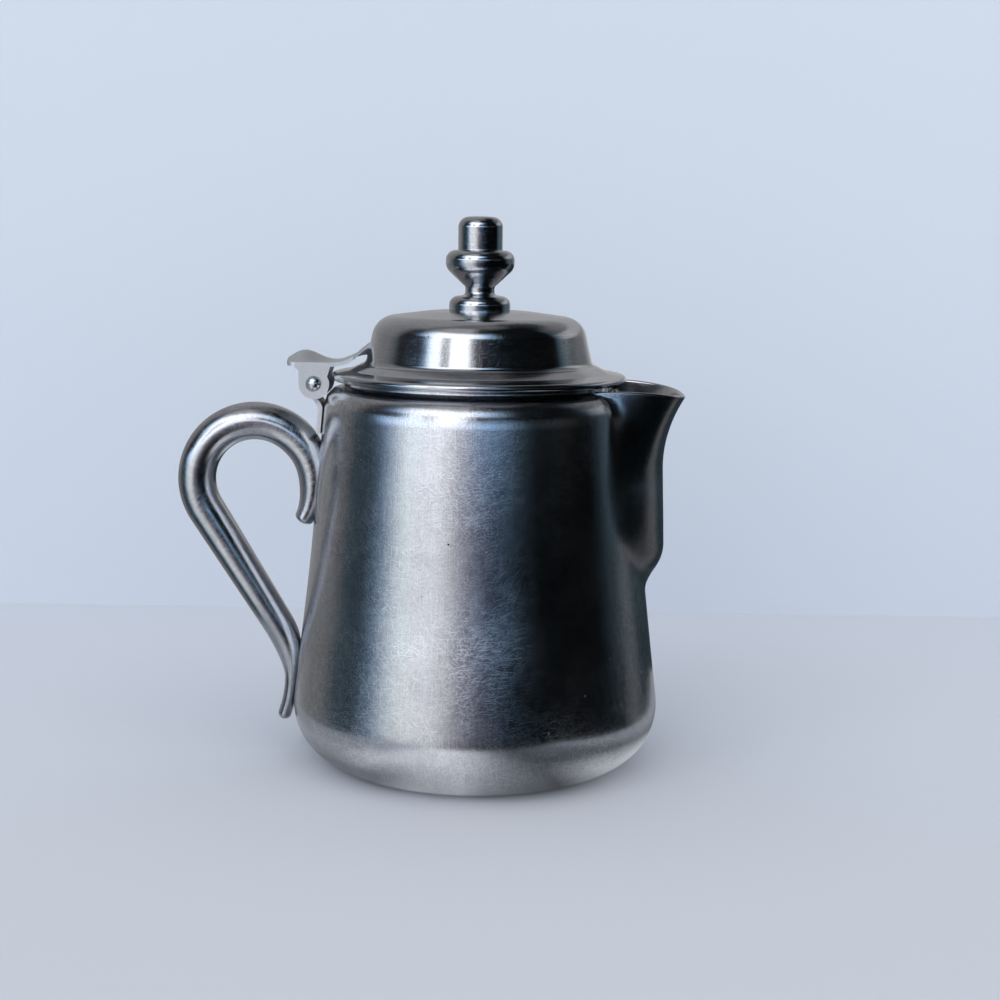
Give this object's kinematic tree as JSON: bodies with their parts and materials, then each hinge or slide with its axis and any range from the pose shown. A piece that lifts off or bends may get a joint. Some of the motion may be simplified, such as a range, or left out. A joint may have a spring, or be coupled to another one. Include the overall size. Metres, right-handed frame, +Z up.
{
  "type": "hinged-lid creamer",
  "caption": "Small stainless cream pot with a wide pouring spout, C-scroll handle and hinged domed lid with thumb tab and turned finial.",
  "frame": {"origin": "centre of the flat underside, on the axis of the body", "axes": "+X towards the spout, +Y to the left when looking along +X with +Z up, +Z up along the body's axis"},
  "size_m": [0.1113, 0.0812, 0.1204],
  "materials": {
    "satin_steel": "worn satin stainless steel with fine scratches",
    "bright_steel": "buffed stainless steel",
    "hinge_steel": "plain stainless sheet and wire"
  },
  "bodies": {
    "pot": {"body": "satin_steel", "spout": "satin_steel", "handle": "bright_steel", "hinge_strap": "hinge_steel"},
    "lid_set": {"lid": "bright_steel", "lid_flange": "hinge_steel", "hinge_leaf": "hinge_steel", "hinge_pin": "hinge_steel", "finial": "bright_steel", "finial_screw": "hinge_steel", "finial_washer": "hinge_steel"}
  },
  "joints": [
    {"name": "lid_hinge", "type": "hinge", "parent": "pot", "child": "lid_set", "pos_m": [-0.0356, 0, 0.084], "axis": [0, -1, 0], "range_deg": [0, 100]}
  ]
}
